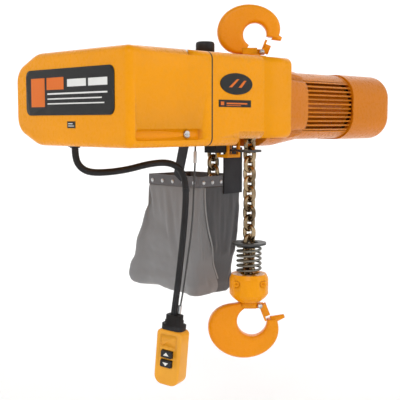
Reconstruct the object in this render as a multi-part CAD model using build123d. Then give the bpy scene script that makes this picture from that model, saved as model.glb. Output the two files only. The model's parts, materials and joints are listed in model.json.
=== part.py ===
from build123d import *
import os
from math import acos, cos, degrees, pi, radians, sin, sqrt, tan

# Electric chain hoist hung from its top hook. Millimetres, +Z up.
# Origin: the seat of the top hook, where its load hangs. X runs along the hoist
# from the control box (-X) to the fan cover (+X). The badge side is -Y.
# The load chain falls down the Z axis.

# ---- driving dimensions -------------------------------------------------
# casing
COVER_END = -356.0        # end face of the control box
COVER_SEAM = -177.0       # control box meets the gear case
FRAME_SEAM = -47.0        # gear case meets the sheave frame
FRAME_END = 32.0          # sheave frame meets the motor bell
BELL_END = 150.0
FINS_END = 307.0
FAN_END = 460.0
FRONT = -75.0             # front face of the casing
COVER_BACK = 236.0
CASE_BACK = 200.0
TOP = -66.0
COVER_BOTTOM = -222.0
CASE_BOTTOM = -211.0
WALL = 6.0
MOTOR_R = 67.0
AXIS_Y = 47.6             # motor shaft and load sheave share one axis
AXIS_Z = -150.0
# chain: 8 mm wire, 18.5 mm pitch
WIRE = 8.0
PITCH = 18.5
LINK_WIDE = 30.0
POCKETS = 8               # of the load sheave
CHAIN_TOP = AXIS_Z         # centre of the highest link of each fall
LOAD_LINKS = 19
SLACK_LINKS = 12
SLACK_Y = 2 * AXIS_Y
# gear train, both stages at one centre distance
GEAR_GAP = 45.0           # between the two shafts
INPUT_TEETH = 12
WHEEL_TEETH = 48
STEP_TEETH = 14
LOAD_TEETH = 31
SHAFT_R = 7.0
LAY_R = 6.0
FIT = 0.05                # radial running clearance
# hooks
HOOK_TURN = -45.0         # plane of both hooks about Z
TOP_BOWL_R = 21.6
TOP_BOWL_X = 8.0
BOTTOM_BOWL_R = 28.5
BOTTOM_BOWL_X = 6.0
BOTTOM_BOWL_Z = -561.0
# hook block and cushion spring
BLOCK_TOP = -469.0
BLOCK_BOTTOM = -523.0
BLOCK_R = 37.0
PLATE_Z = -413.0          # underside of the spring plate
SPRING_R = 22.0
SPRING_WIRE = 4.6
# chain bag
BAG_FRONT = 74.0
BAG_RIM_TOP = -286.0
BAG_RIM_BOTTOM = -306.0
BAG_BOTTOM = -520.0
BAG_SKIN = 2.5
# pendant
CORD_D = 12.0
HANDSET = (-131.0, 70.0, -566.0)   # top middle of the yellow shell
HANDSET_TURN = -73.0               # about Z, so that the buttons face -X
HANDSET_LEAN = 5.0                 # about its own front axis
HANDSET_W = 52.0
HANDSET_D = 36.0
HANDSET_H = 105.0
# places on the casing
GLAND = (-310.0, 125.0)            # where the pendant cord leaves the control box
OIL_CAP = (-89.0, 30.0)            # filler cap on the roof of the gear case
COVER_SCREWS = [(-230, -202), (-227, TOP - 4.5)]   # X, Z, in the pocket and the notch
BACK_SCREWS = [(-230, z) for z in (-118, -170)]
CASE_BOLTS = [(AXIS_Y + side_y * 62, AXIS_Z + side_z * 55) for side_y in (-1, 1) for side_z in (-1, 1)]
LAY_Y = AXIS_Y + GEAR_GAP          # axis of the intermediate gear
LEVER_PIVOT = (56.0, -236.0)       # Y, Z of the limit lever's pin
BAG_HALF = 60.0
# smaller working parts
BEARING_R = 22.0
STUB_R = 14.0                      # hollow journals of the load sheave
CHAIN_HOLE = 17.0
MOTOR_BORE = 51.0
FINS = 12
FIN_STEP = 8.6
HOOK_SHANK = 11.0
TOP_NECK = -60.5                   # underside of the top hook's collar
PIN_R = 3.0
SCREW_R = 3.3
TOP_PIVOT = (21.0, -53.0)
TOP_LATCH_TIP = (29.0, -31.5)
BOTTOM_PIVOT = (21.0, -531.0)
BOTTOM_LATCH_TIP = (32.0, -559.0)
BLOCK_BOLT_X = 25.0
BLOCK_BOLT_Z = -485.0
CHAIN_PIN_R = 4.0
CHAIN_PIN_Z = CHAIN_TOP - PITCH * (LOAD_LINKS - 0.5) + 4.1
SPLIT = 3.0                        # the handset's two halves meet here, local Y
BUTTON_W = 24.0
BUTTON_Z = (-44.0, -62.0)


# ---- helpers ------------------------------------------------------------
def at(x, y, z):
    return Location((x, y, z))


def along_x(x0, x1, r, y=AXIS_Y, z=AXIS_Z):
    """A round bar parallel to X."""
    return at((x0 + x1) / 2, y, z) * Rotation(0, 90, 0) * Cylinder(r, x1 - x0)


def along_y(y0, y1, r, x, z):
    return at(x, (y0 + y1) / 2, z) * Rotation(90, 0, 0) * Cylinder(r, y1 - y0)


def along_z(z0, z1, r, x=0.0, y=0.0):
    return at(x, y, (z0 + z1) / 2) * Cylinder(r, z1 - z0)


def block(x0, x1, y0, y1, z0, z1):
    return at((x0 + x1) / 2, (y0 + y1) / 2, (z0 + z1) / 2) * Box(x1 - x0, y1 - y0, z1 - z0)


def tube_x(x0, x1, r_out, r_in, y=AXIS_Y, z=AXIS_Z):
    return along_x(x0, x1, r_out, y, z) - along_x(x0 - 1, x1 + 1, r_in, y, z)


def extrude_x(sketch, x0, x1):
    """Extrude a sketch drawn in the Y-Z plane from x0 to x1."""
    return extrude(Plane(origin=(x0, 0, 0), x_dir=(0, 1, 0), z_dir=(1, 0, 0)) * sketch, x1 - x0)


def turned(part, angle=HOOK_TURN):
    return Rotation(0, 0, angle) * part


def hex_bar(x0, x1, across, y, z):
    return extrude_x(Pos(y, z) * RegularPolygon(across / 2, 6, major_radius=False), x0, x1)


def only(part):
    """One shape for export from a part or a list of separate pieces."""
    if isinstance(part, (list, tuple)):
        solids = [s for p in part for s in p.solids()]
    else:
        solids = list(part.solids())
    return solids[0] if len(solids) == 1 else Compound(children=solids)


PARTS = {}


def add(name, part):
    PARTS[name] = only(part)


# ---- casing outlines ----------------------------------------------------
def case_outline(back, bottom, inset=0.0):
    """Section of the casing in the Y-Z plane: square at the front, sloped at the back corners."""
    front, top = FRONT + inset, TOP - inset
    rear, low = back - inset, bottom + inset
    slope, drop = 62.0, 26.0
    corner = max(14.0 - inset, 4.0)
    line = FilletPolyline(
        (front, top), (rear - slope, top), (rear, top - drop), (rear, low + drop),
        (rear - slope, low), (front, low),
        radius=[corner, 60.0, 34.0, 34.0, 60.0, corner], close=True)
    return make_face(line)


def motor_outline(r):
    """The motor's section: round, a little squared."""
    return Pos(AXIS_Y, AXIS_Z) * RectangleRounded(2 * r, 2 * r, 0.72 * r)


def control_cover():
    """Hollow box with a rounded end, a finger pocket low on the front and a notch on the roof."""
    outer = extrude_x(case_outline(COVER_BACK, COVER_BOTTOM), COVER_END, COVER_SEAM - 3)
    outer = fillet(outer.edges().filter_by_position(Axis.X, COVER_END - 1, COVER_END + 1), 11.0)
    inner = extrude_x(case_outline(COVER_BACK, COVER_BOTTOM, WALL), COVER_END + WALL, COVER_SEAM)
    pocket = block(-344, -200, FRONT - 5, FRONT + 9, -211, -193)
    pocket = fillet(pocket.edges().filter_by(Axis.Y), 6.0)
    pocket_back = block(-350, -194, FRONT - 5, FRONT + 14, -218, -187)
    notch = block(-233, -221, FRONT - 1, FRONT + 14, TOP - 9.5, TOP + 1)
    notch_back = block(-239, -215, FRONT - 1, FRONT + 19, TOP - 14.5, TOP + 1)
    shell = outer - (inner - pocket_back - notch_back) - pocket - notch
    shell -= along_z(COVER_BOTTOM - 5, COVER_BOTTOM + 10, 9.0, *GLAND)
    for x, z in COVER_SCREWS:
        shell -= along_y(FRONT, FRONT + 30, SCREW_R, x, z)
    for x, z in BACK_SCREWS:
        shell -= along_y(COVER_BACK - 20, COVER_BACK + 1, SCREW_R, x, z)
    return shell


def pan_screw(x, y, z, outward, head_r=6.0):
    """Slotted pan head whose face looks along outward times +Y, with its shank behind it."""
    head = along_y(min(y, y + outward * 3), max(y, y + outward * 3), head_r, x, z)
    shank = along_y(min(y, y - outward * 14), max(y, y - outward * 14), SCREW_R - 0.05, x, z)
    slot_y = (y + outward * 1.6, y + outward * 4)
    return head + shank - block(x - 7, x + 7, min(slot_y), max(slot_y), z - 0.8, z + 0.8)


def cover_screws():
    front = [pan_screw(x, FRONT + 9, z, -1) for x, z in COVER_SCREWS[:1]]
    roof = [pan_screw(x, FRONT + 14, z, -1, 4.2) for x, z in COVER_SCREWS[1:]]
    return front + roof + [pan_screw(x, COVER_BACK, z, 1) for x, z in BACK_SCREWS]


def gear_case():
    """Ring casting with a web that carries the left-hand bearings."""
    left, right = COVER_SEAM, FRAME_SEAM
    outer = extrude_x(case_outline(CASE_BACK, CASE_BOTTOM), left, right)
    outer += extrude_x(case_outline(CASE_BACK, COVER_BOTTOM), left, -112)
    inner = extrude_x(case_outline(CASE_BACK, CASE_BOTTOM, WALL + 2), left - 1, right + 1)
    web = extrude_x(case_outline(CASE_BACK, CASE_BOTTOM, WALL), -130, -120)
    web -= along_x(-131, -119, 13.0) + along_x(-131, -119, LAY_R + FIT, LAY_Y)
    return outer - inner + web


def main_frame():
    """Closed box between two bearing walls; the chain falls through its floor."""
    left, right = FRAME_SEAM, FRAME_END
    outer = extrude_x(case_outline(CASE_BACK, CASE_BOTTOM), left, right)
    outer = fillet(outer.edges().filter_by_position(Axis.X, right - 1, right + 1), 5.0)
    inner = extrude_x(case_outline(CASE_BACK, CASE_BOTTOM, WALL + 2), left + 10, right - 10)
    boss = along_z(TOP, TOP + 5, 30)
    frame = outer - inner + boss
    frame -= along_z(TOP - 12, TOP + 6, HOOK_SHANK + FIT)
    frame -= along_x(left - 1, left + 11, BEARING_R) + along_x(right - 11, right + 1, BEARING_R)
    frame -= along_x(left - 1, left + 11, LAY_R + FIT, LAY_Y)
    for y, z in CASE_BOLTS:
        frame -= along_x(right - 11, right + 1, 3.9, y, z)
    for y in (0, SLACK_Y):
        frame -= along_z(CASE_BOTTOM - 1, CASE_BOTTOM + 12, CHAIN_HOLE, 0, y)
    return frame


def case_bolts():
    """Through bolts of the casting joints, heads on the front and back of the motor flange."""
    bolts = []
    for y, z in CASE_BOLTS:
        head = hex_bar(FRAME_END + 16, FRAME_END + 23, 13, y, z)
        bolts.append(head + along_x(FRAME_END - 5, FRAME_END + 16, 3.9, y, z))
    return bolts


def motor_bell():
    """Tapering end bell with a bolting flange."""
    ends = [(FRAME_END, 79.0), (FRAME_END + 50, 78.0), (BELL_END, 69.0)]
    planes = [Plane(origin=(x, 0, 0), x_dir=(0, 1, 0), z_dir=(1, 0, 0)) for x, _ in ends]
    outer = loft([plane * motor_outline(r) for plane, (_, r) in zip(planes, ends)], ruled=True)
    inner = along_x(FRAME_END + 10, BELL_END - 12, 60)
    bell = outer - inner - along_x(FRAME_END - 1, BELL_END + 1, 13.0)
    for y, z in CASE_BOLTS:
        bell -= along_x(FRAME_END + 10, BELL_END + 5, 8.5, y, z)
        bell -= along_x(FRAME_END - 1, FRAME_END + 11, 3.9, y, z)
    return bell


def motor_housing():
    """Round barrel with horizontal cooling fins on both sides and four corner lugs."""
    barrel = tube_x(BELL_END, FINS_END, 57.0, MOTOR_BORE)
    fins = []
    for i in range(FINS):
        z = AXIS_Z + (i - (FINS - 1) / 2) * FIN_STEP
        slab = block(BELL_END, FINS_END - 6, AXIS_Y - MOTOR_R, AXIS_Y + MOTOR_R, z - 1.7, z + 1.7)
        fins.append(slab)
    solid = extrude_x(motor_outline(MOTOR_R), BELL_END, FINS_END - 6)
    rail = block(BELL_END, FINS_END - 6, AXIS_Y - 66, AXIS_Y + 66, AXIS_Z + 50, AXIS_Z + 67)
    low_rail = block(BELL_END, FINS_END - 6, AXIS_Y - 66, AXIS_Y + 66, AXIS_Z - 67, AXIS_Z - 50)
    body = barrel + (solid & (fins[0] + fins[1:] + [rail, low_rail]))
    return body - along_x(BELL_END - 1, FINS_END + 1, MOTOR_BORE)


def fan_cover():
    """Domed cap over the brake and the fan, with a ring of air slots at its mouth."""
    outer = extrude_x(motor_outline(MOTOR_R + 2), FINS_END, FAN_END)
    outer = fillet(outer.edges().filter_by_position(Axis.X, FAN_END - 1, FAN_END + 1), 27.0)
    cap = outer - along_x(FINS_END - 1, FAN_END - 30, MOTOR_R - 3) - along_x(FAN_END - 31, FAN_END - 8, 40)
    for i in range(16):
        slot = block(FAN_END - 9, FAN_END + 1, AXIS_Y + 14, AXIS_Y + 34, AXIS_Z - 2, AXIS_Z + 2)
        cap -= Rotation(0, 0, 0) * slot.rotate(Axis((0, AXIS_Y, AXIS_Z), (1, 0, 0)), i * 22.5)
    return cap


# ---- gear train ---------------------------------------------------------
def gear(teeth, module, x0, x1, turn=0.0, y=AXIS_Y):
    """Spur gear on an axis parallel to X, involute flanks at 25 degrees, stubbed tips."""
    pitch_r, tip_r, root_r = teeth * module / 2, (teeth / 2 + 0.8) * module, (teeth / 2 - 1.1) * module
    base_r = pitch_r * cos(radians(25))
    backlash = 0.12 / pitch_r
    inv = lambda a: tan(a) - a
    half_pitch = pi / (2 * teeth) - backlash + inv(radians(25))
    start_r = max(base_r, root_r)
    flank = []
    for i in range(5):
        r = start_r + (tip_r - start_r) * i / 4
        flank.append((r, half_pitch - inv(acos(min(1.0, base_r / r)))))
    points = []
    for k in range(teeth):
        mid = 2 * pi * k / teeth + radians(turn)
        side = [(root_r, -flank[0][1])] if start_r > root_r else []
        side += [(r, -a) for r, a in flank] + [(r, a) for r, a in reversed(flank)]
        side += [(root_r, flank[0][1])] if start_r > root_r else []
        points += [(r * cos(mid + a), r * sin(mid + a)) for r, a in side]
    face = make_face(Polyline(*points, close=True))
    return extrude_x(Pos(y, AXIS_Z) * face, x0, x1)


def motor_shaft():
    """One shaft from the gear case through the hollow sheave to the fan, pinion cut on its end."""
    shaft = along_x(-132, 436, SHAFT_R) + gear(INPUT_TEETH, 1.5, -100, -80)
    return shaft + along_x(158, 298, 10.0)


def lay_gear():
    """Intermediate wheel and its step pinion on one short shaft."""
    wheel = gear(WHEEL_TEETH, 1.5, -98, -82, 180 / WHEEL_TEETH, LAY_Y)
    for i in range(6):
        angle = radians(60 * i)
        wheel -= along_x(-99, -81, 7.0, LAY_Y + 22 * cos(angle), AXIS_Z + 22 * sin(angle))
    return wheel + gear(STEP_TEETH, 2.0, -82, -54, 0, LAY_Y) + along_x(-129, -38, LAY_R, LAY_Y)


def load_gear():
    wheel = gear(LOAD_TEETH, 2.0, -66, -54, 180 / LOAD_TEETH)
    return wheel - along_x(-67, -53, STUB_R)


def load_sheave():
    """Pocket wheel: flat links lie on the rims, upright links run in the groove."""
    rim_r = AXIS_Y - WIRE / 2 - 0.4
    wheel = along_x(-19, 19, rim_r)
    wheel -= tube_x(-5, 5, rim_r + 1, AXIS_Y - LINK_WIDE / 2 - 1.0)
    for i in range(POCKETS):
        turn = 360 / POCKETS * (i + 0.5)
        for x0 in (-18, 10):
            tooth = block(x0, x0 + 8, -1.5, AXIS_Y - 30, AXIS_Z - 3.5, AXIS_Z + 3.5)
            wheel += tooth.rotate(Axis((0, AXIS_Y, AXIS_Z), (1, 0, 0)), turn)
    return wheel + along_x(-67, 31, STUB_R) - along_x(-68, 32, SHAFT_R + 1.5)


# ---- chain --------------------------------------------------------------
def link():
    """One link standing in the X-Z plane, centred on the origin."""
    half = (PITCH + 2 * WIRE - LINK_WIDE) / 2 + 0.05
    r = (LINK_WIDE - WIRE) / 2
    path = Polyline((-r, 0, -half), (-r, 0, half)) + ThreePointArc((-r, 0, half), (0, 0, half + r), (r, 0, half))
    path += Line((r, 0, half), (r, 0, -half))
    path += ThreePointArc((r, 0, -half), (0, 0, -half - r), (-r, 0, -half))
    profile = Plane(origin=(-r, 0, -half), z_dir=(0, 0, 1)) * Circle(WIRE / 2)
    return sweep(profile, path=path.wire() if hasattr(path, "wire") else path)


def chain(count, y):
    """A straight fall of links from CHAIN_TOP down, alternately flat and upright."""
    one = link()
    links = []
    for i in range(count):
        turn = 90 * (i % 2)
        links.append(at(0, y, CHAIN_TOP - PITCH * i) * Rotation(0, 0, turn) * one)
    return links


# ---- hooks --------------------------------------------------------------
def hook(centre, bowl_r, start, end, widths, thick):
    """Bowl of a hook in the X-Z plane: rounded sections of the given widths, evenly along an arc."""
    sections = []
    for i, wide in enumerate(widths):
        angle = radians(start + (end - start) * i / (len(widths) - 1))
        depth = thick * (0.5 + 0.5 * wide / max(widths))
        r = bowl_r + wide / 2
        plane = Plane(origin=(centre[0] + r * cos(angle), 0, centre[1] + r * sin(angle)),
                      x_dir=(cos(angle), 0, sin(angle)), z_dir=(-sin(angle), 0, cos(angle)))
        sections.append(plane * RectangleRounded(wide, depth, min(wide, depth) * 0.31))
    return loft(sections)


def beak(x, z, lean, long):
    """Blunt point of a hook, from (x, z) towards +X, raised by lean degrees."""
    return at(x, 0, z) * Rotation(0, 90 - lean, 0) * Pos(0, 0, long / 2) * Cone(8.0, 3.6, long)


def top_hook():
    body = hook((TOP_BOWL_X, -TOP_BOWL_R), TOP_BOWL_R, 240, -8, [19, 37, 48, 46, 38, 32, 30, 28, 21], 31)
    body += block(-15, 12, -13, 13, TOP_NECK, -46)
    body += block(4, 26, -4.4, 4.4, -58, -48) + beak(TOP_BOWL_X + TOP_BOWL_R + 12, -23, -22, 17)
    body += along_z(TOP_NECK, TOP_NECK + 3, 19) + along_z(TOP - 22, TOP_NECK + 3, HOOK_SHANK)
    return turned(body - along_y(-20, 20, PIN_R, *TOP_PIVOT))


def bottom_hook():
    centre = (BOTTOM_BOWL_X, BOTTOM_BOWL_Z)
    body = hook(centre, BOTTOM_BOWL_R, 122, 366, [15, 34, 55, 56, 48, 40, 34, 27, 19], 32)
    neck_top = BLOCK_BOTTOM - 0.8
    body += block(-13, 13, -12, 12, -535, neck_top)
    body += block(4, 27, -4.4, 4.4, -536, -526) + beak(BOTTOM_BOWL_X + BOTTOM_BOWL_R + 8, -560, 18, 27)
    body += along_z(-528, neck_top, 17) + along_z(-528, BLOCK_BOTTOM + 19.4, HOOK_SHANK)
    return turned(body - along_y(-20, 20, PIN_R, *BOTTOM_PIVOT))


def latch(pivot, tip, wide):
    """Spring plate from the pivot to the inside of the hook tip, with two cheeks over the ear."""
    dx, dz = tip[0] - pivot[0], tip[1] - pivot[1]
    length = sqrt(dx * dx + dz * dz)
    body = block(9.5, length, -wide / 2, wide / 2, -1.8, 1.8)
    out = 1 if dz < 0 else -1
    for y in (-7.2, 4.8):
        near, far = sorted((-1.8 * out, 12 * out))
        body += along_y(y, y + 2.4, 4.5, 0, 0) + block(0, length - 7, y, y + 2.4, near, far)
    body -= along_y(-20, 20, PIN_R + FIT, 0, 0)
    lean = degrees(acos(dx / length)) * (-1 if dz > 0 else 1)
    return turned(at(pivot[0], 0, pivot[1]) * Rotation(0, lean, 0) * body)


def latch_pin(pivot):
    pin = along_y(-8.4, 8.4, PIN_R, *pivot)
    return turned(pin + along_y(-9.6, -7.6, PIN_R + 1.5, *pivot) + along_y(7.6, 9.6, PIN_R + 1.5, *pivot))


# ---- hook block ---------------------------------------------------------
def block_shell():
    """Round block, hollow for the chain end above and the hook nut below."""
    h0, h1 = BLOCK_BOTTOM, BLOCK_TOP
    outline = Polyline((0, h0), (21, h0), (BLOCK_R - 5, h0 + 9), (BLOCK_R, h0 + 16), (BLOCK_R, h1 - 9),
                       (BLOCK_R - 4, h1), (0, h1), close=True)
    body = revolve(Plane.XZ * make_face(outline), Axis.Z)
    body -= along_z(h0 + 21, h1 + 1, 16.5)
    body -= along_z(h0 + 8, h0 + 20, 19)
    body -= along_z(h0 - 1, h0 + 9, HOOK_SHANK + FIT)
    return body


def block_half(side):
    """Half of the block; side -1 faces the badge side and has the recessed bolt heads."""
    half = block_shell() & block(-50, 50, min(0, side * 50), max(0, side * 50), BLOCK_BOTTOM, BLOCK_TOP)
    for x in (-BLOCK_BOLT_X, BLOCK_BOLT_X):
        half -= along_y(-50, 50, 3.1, x, BLOCK_BOLT_Z)
        recess = (-50, -24) if side < 0 else (24, 50)
        half -= along_y(*recess, 6.6, x, BLOCK_BOLT_Z)
    return turned(half) - along_y(-24.2, 24.2, CHAIN_PIN_R + FIT, 0, CHAIN_PIN_Z)


def block_bolts():
    bolts = []
    for x in (-BLOCK_BOLT_X, BLOCK_BOLT_X):
        bolt = along_y(-24, 24, 3.0, x, BLOCK_BOLT_Z) + along_y(-28, -24, 5.6, x, BLOCK_BOLT_Z)
        socket = Pos(x, 0, BLOCK_BOLT_Z) * Rotation(90, 0, 0) * extrude(RegularPolygon(2.6, 6), 3)
        bolts.append(bolt + along_y(24, 27, 5.6, x, BLOCK_BOLT_Z) - Pos(0, -26, 0) * socket)
    return [turned(b) for b in bolts]


def cushion_spring():
    height = PLATE_Z - BLOCK_TOP - SPRING_WIRE - 0.2
    pitch = height / 5.5
    path = at(0, 0, BLOCK_TOP + SPRING_WIRE / 2 + 0.1) * Helix(pitch, height, SPRING_R)
    start = path.position_at(0)
    profile = Plane(origin=start, z_dir=path.tangent_at(0)) * Circle(SPRING_WIRE / 2)
    return sweep(profile, path=path, is_frenet=True)


def spring_plate():
    plate = along_z(PLATE_Z, PLATE_Z + 4, 32.5) + along_z(PLATE_Z - 5, PLATE_Z, 19.3)
    return plate - along_z(PLATE_Z - 6, PLATE_Z + 5, 16.9)


# ---- chain guide and limit lever ---------------------------------------
def chain_guide():
    """Open yellow bracket under the frame between the two falls."""
    body = block(-16, 20, 42, 70, -250, CASE_BOTTOM)
    body -= block(-17, 21, 47, 65, -244, -219)
    return body - block(-10, 14, 40, 78, -244, -219) - along_x(-17, 21, 2.0, *LEVER_PIVOT)


def limit_lever():
    """Black lever whose ring surrounds the load chain; the spring plate lifts it at the top."""
    y, z = LEVER_PIVOT
    ring = along_z(z - 2, z + 2, 22) - along_z(z - 3, z + 3, 17.6)
    arm = block(-4, 4, 19, y + 4, z - 2, z + 2) + block(-4, 4, y - 4, y + 4, -242.5, -221)
    return ring + arm + along_x(-15.8, 19.8, 1.95, y, z)


# ---- soft goods ---------------------------------------------------------
def bag_side(inset=0.0):
    """Side view of the bag in the Y-Z plane: upright lip in front, sloped back, round bottom corners."""
    up = BAG_RIM_BOTTOM + (1 if inset else 0)
    low = BAG_BOTTOM + inset
    front = BAG_FRONT + inset
    line = FilletPolyline(
        (front, up), (front, -428), (front + 14, -470), (front + 15, low), (300 - inset, low),
        (315 - inset, low + 26), (222 - inset, up), radius=[0, 40, 40, 20, 14, 16, 0], close=True)
    return make_face(line)


def chain_bag():
    outer = extrude_x(bag_side(), -BAG_HALF, BAG_HALF)
    return outer - extrude_x(bag_side(BAG_SKIN), -BAG_HALF + BAG_SKIN, BAG_HALF - BAG_SKIN)


def bag_rim():
    outer = block(-BAG_HALF, BAG_HALF, BAG_FRONT, 222, BAG_RIM_BOTTOM, BAG_RIM_TOP)
    outer = fillet(outer.edges().filter_by(Axis.Z), 6)
    return outer - block(-BAG_HALF + 3, BAG_HALF - 3, BAG_FRONT + 3, 219, -310, -280)


def bag_bracket():
    """Hanging plate in front of the bag, with a tab bolted under the frame."""
    y0, y1 = BAG_FRONT - 3, BAG_FRONT
    plate = block(6, 58, y0, y1, -322, -232) + block(21, 31.5, y0, y1, -233, CASE_BOTTOM)
    return plate + block(21, 31.5, y1, y1 + 26, CASE_BOTTOM - 3, CASE_BOTTOM)


def bag_strap():
    """Webbing loop from the gear case down to the side of the rim."""
    top, low = Vector(-92, 78, CASE_BOTTOM), Vector(-BAG_HALF - 1.6, 132, BAG_RIM_TOP - 4)
    along = (low - top).normalized()
    plane = Plane(origin=(top + low) / 2, x_dir=along.cross(Vector(0, 1, 0.6)), z_dir=along)
    strap = plane * Box(2.4, 24, (low - top).length)
    return strap - block(-200, 0, 0, 200, CASE_BOTTOM, TOP)


# The pendant cord's route, chosen by hand: out of the gland, over in a shallow
# sag towards the tie, then down to the handset.
CORD_ROUTE = [
    (-310, 125, -226), (-310, 125, -244), (-302, 122, -260), (-287, 116, -269), (-259, 106, -270),
    (-222, 92, -266), (-186, 79, -257), (-155, 67, -254), (-134, 60, -260), (-121, 55, -275),
    (-116, 53, -296), (-115, 54, -330), (-117, 57, -378), (-121, 61, -432), (-126, 65, -488),
    (-131, 70, -540)]
WIRE_ROUTE = [
    (-97, 47, -211), (-100, 44, -252), (-104, 44, -296), (-104, 46, -345), (-107, 50, -400),
    (-112, 56, -452), (-116, 61, -500), (-121, 67, -540)]


def tube_on(route, diameter, label):
    """Round tube along straight runs joined by the largest tangent arcs that fit."""
    points = [Vector(*p) for p in route]
    radii = []
    for before, here, after in zip(points, points[1:], points[2:]):
        turn = (here - before).get_angle(after - here)
        run = min((here - before).length, (after - here).length)
        radii.append(0.45 * run / tan(radians(turn / 2)))
    path = FilletPolyline(*points, radius=radii)
    profile = Plane(origin=path @ 0, z_dir=path % 0) * Circle(diameter / 2)
    tube = sweep(profile, path=path)
    print(label, "radii", [round(r) for r in radii], "length", round(path.length, 1))
    print(label, "volume / (section x length)", round(tube.volume / (pi * diameter**2 / 4 * path.length), 4))
    return tube


# ---- pendant ------------------------------------------------------------
def handset(part):
    """Place a piece drawn about the top middle of the handset, buttons facing -Y."""
    return at(*HANDSET) * Rotation(0, 0, HANDSET_TURN) * Rotation(0, HANDSET_LEAN, 0) * part


def shell_outline(inset=0.0):
    """Front view of the shell: straight sides, round shoulders and a rounder foot."""
    w, h = HANDSET_W / 2 - inset, HANDSET_H - inset
    line = FilletPolyline((-w, -inset), (-w, -h), (w, -h), (w, -inset), radius=[8, 17, 17, 8], close=True)
    return make_face(line)


def handset_shell():
    half = HANDSET_D / 2
    outer = extrude(Plane.XZ * shell_outline(), half, both=True)
    outer = fillet(outer.edges().filter_by_position(Axis.Y, half - 0.1, half + 0.1), 6)
    outer = fillet(outer.edges().filter_by_position(Axis.Y, -half - 0.1, -half + 0.1), 4)
    return outer - extrude(Plane.XZ * shell_outline(4), half - 4, both=True)


def handset_front():
    front = handset_shell() & block(-60, 60, -40, SPLIT, -150, 20)
    recess = fillet(block(-17, 17, -40, -HANDSET_D / 2 + 2.5, -30, -8).edges().filter_by(Axis.Y), 4)
    front -= recess
    for z in BUTTON_Z:
        front -= block(-BUTTON_W / 2 - 0.3, BUTTON_W / 2 + 0.3, -30, 0, z - 7.3, z + 7.3)
    return front - along_z(-10, 10, 6.5)


def handset_back():
    return (handset_shell() & block(-60, 60, SPLIT, 40, -150, 20)) - along_z(-10, 10, 6.5)


def button(z):
    """Square key with a stem that reaches its switch."""
    face = block(-BUTTON_W / 2, BUTTON_W / 2, -HANDSET_D / 2 - 5, -HANDSET_D / 2 + 3.6, z - 7, z + 7)
    face = fillet(face.edges().filter_by(Axis.Y), 3.0)
    face = fillet(face.edges().filter_by_position(Axis.Y, -HANDSET_D / 2 - 5.1, -HANDSET_D / 2 - 4.9), 1.5)
    return handset(face + along_y(-HANDSET_D / 2 + 3, -4.5, 3, 0, z))


def handset_boot():
    """Stepped rubber boot on top of the shell."""
    steps = [(0, 10, 44, 30), (10, 17, 33, 27), (17, 27, 30, 24)]
    body = None
    for z0, z1, wide, deep in steps:
        step = block(-wide / 2, wide / 2, -deep / 2, deep / 2, z0, z1)
        step = fillet(step.edges().filter_by(Axis.Z), deep / 2 - 4)
        body = step if body is None else body + step
    return handset(body - along_z(-1, 28, CORD_D / 2 - 0.2))


def handset_switches():
    switches = [block(-10, 10, 0.2, 12, z - 7, z + 7) for z in BUTTON_Z]
    return [handset(s) for s in switches]


# ---- the assembly -------------------------------------------------------
# casing
add("control_cover", control_cover())
gasket = extrude_x(case_outline(COVER_BACK, COVER_BOTTOM), COVER_SEAM - 3, COVER_SEAM)
add("cover_gasket", gasket - extrude_x(case_outline(COVER_BACK, COVER_BOTTOM, WALL), -200, -100))
add("cover_screws", cover_screws())
PLATE_END = COVER_SEAM + 4
add("gear_case", gear_case() - along_z(TOP - 12, TOP + 1, 9, *OIL_CAP)
    - extrude_x(case_outline(CASE_BACK, CASE_BOTTOM, 4), COVER_SEAM - 1, PLATE_END))
add("control_plate", extrude_x(case_outline(CASE_BACK, CASE_BOTTOM, 4.2), COVER_SEAM, PLATE_END))
add("transformer", block(-235, COVER_SEAM, 120, 190, -190, -110))
contactors = [block(-240, COVER_SEAM, y, y + 38, -180, -105) for y in (-50, -8, 34)]
add("contactors", contactors)
add("cable_gland", along_z(COVER_BOTTOM - 4, COVER_BOTTOM + 14, 8.9, *GLAND)
    + at(*GLAND, COVER_BOTTOM - 2) * extrude(RegularPolygon(13, 6), 2)
    - along_z(COVER_BOTTOM - 5, COVER_BOTTOM + 15, CORD_D / 2, *GLAND))
oil_cap = along_z(TOP, TOP + 28, 17, *OIL_CAP) + along_z(TOP - 10, TOP, 8.9, *OIL_CAP)
add("oil_cap", fillet(oil_cap.edges().filter_by_position(Axis.Z, TOP + 27, TOP + 29), 5))
add("main_frame", main_frame())
add("case_bolts", case_bolts())
add("motor_bell", motor_bell())
add("motor_housing", motor_housing())
add("fan_cover", fan_cover())
stator = tube_x(170, 286, MOTOR_BORE, 31)
coils = [tube_x(x, x + 14, 46, 33) for x in (156, 286)]
add("stator", [stator] + coils)
bearings = [tube_x(-130, -120, 13, SHAFT_R + FIT), tube_x(BELL_END - 12, BELL_END, 13, SHAFT_R + FIT)]
bearings += [tube_x(FRAME_SEAM, FRAME_SEAM + 10, BEARING_R, STUB_R + FIT)]
bearings += [tube_x(FRAME_END - 10, FRAME_END, BEARING_R, STUB_R + FIT)]
add("shaft_bearings", bearings)
add("brake_coil", tube_x(FINS_END + 14, FINS_END + 44, 42, 14))

# turning parts
add("motor_shaft", motor_shaft())
add("rotor_core", tube_x(172, 284, 30, 10))
add("brake_disc", tube_x(FINS_END + 46, FINS_END + 54, 46, SHAFT_R))
hub = tube_x(410, 428, 14, SHAFT_R)
for blade in range(7):
    vane = block(410, 428, AXIS_Y - 1.2, AXIS_Y + 1.2, AXIS_Z + 12, AXIS_Z + 36)
    hub += vane.rotate(Axis((0, AXIS_Y, AXIS_Z), (1, 0, 0)), blade * 360 / 7)
add("cooling_fan", hub)
add("lay_gear", lay_gear())
add("load_gear", load_gear())
add("load_sheave", load_sheave())

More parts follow.
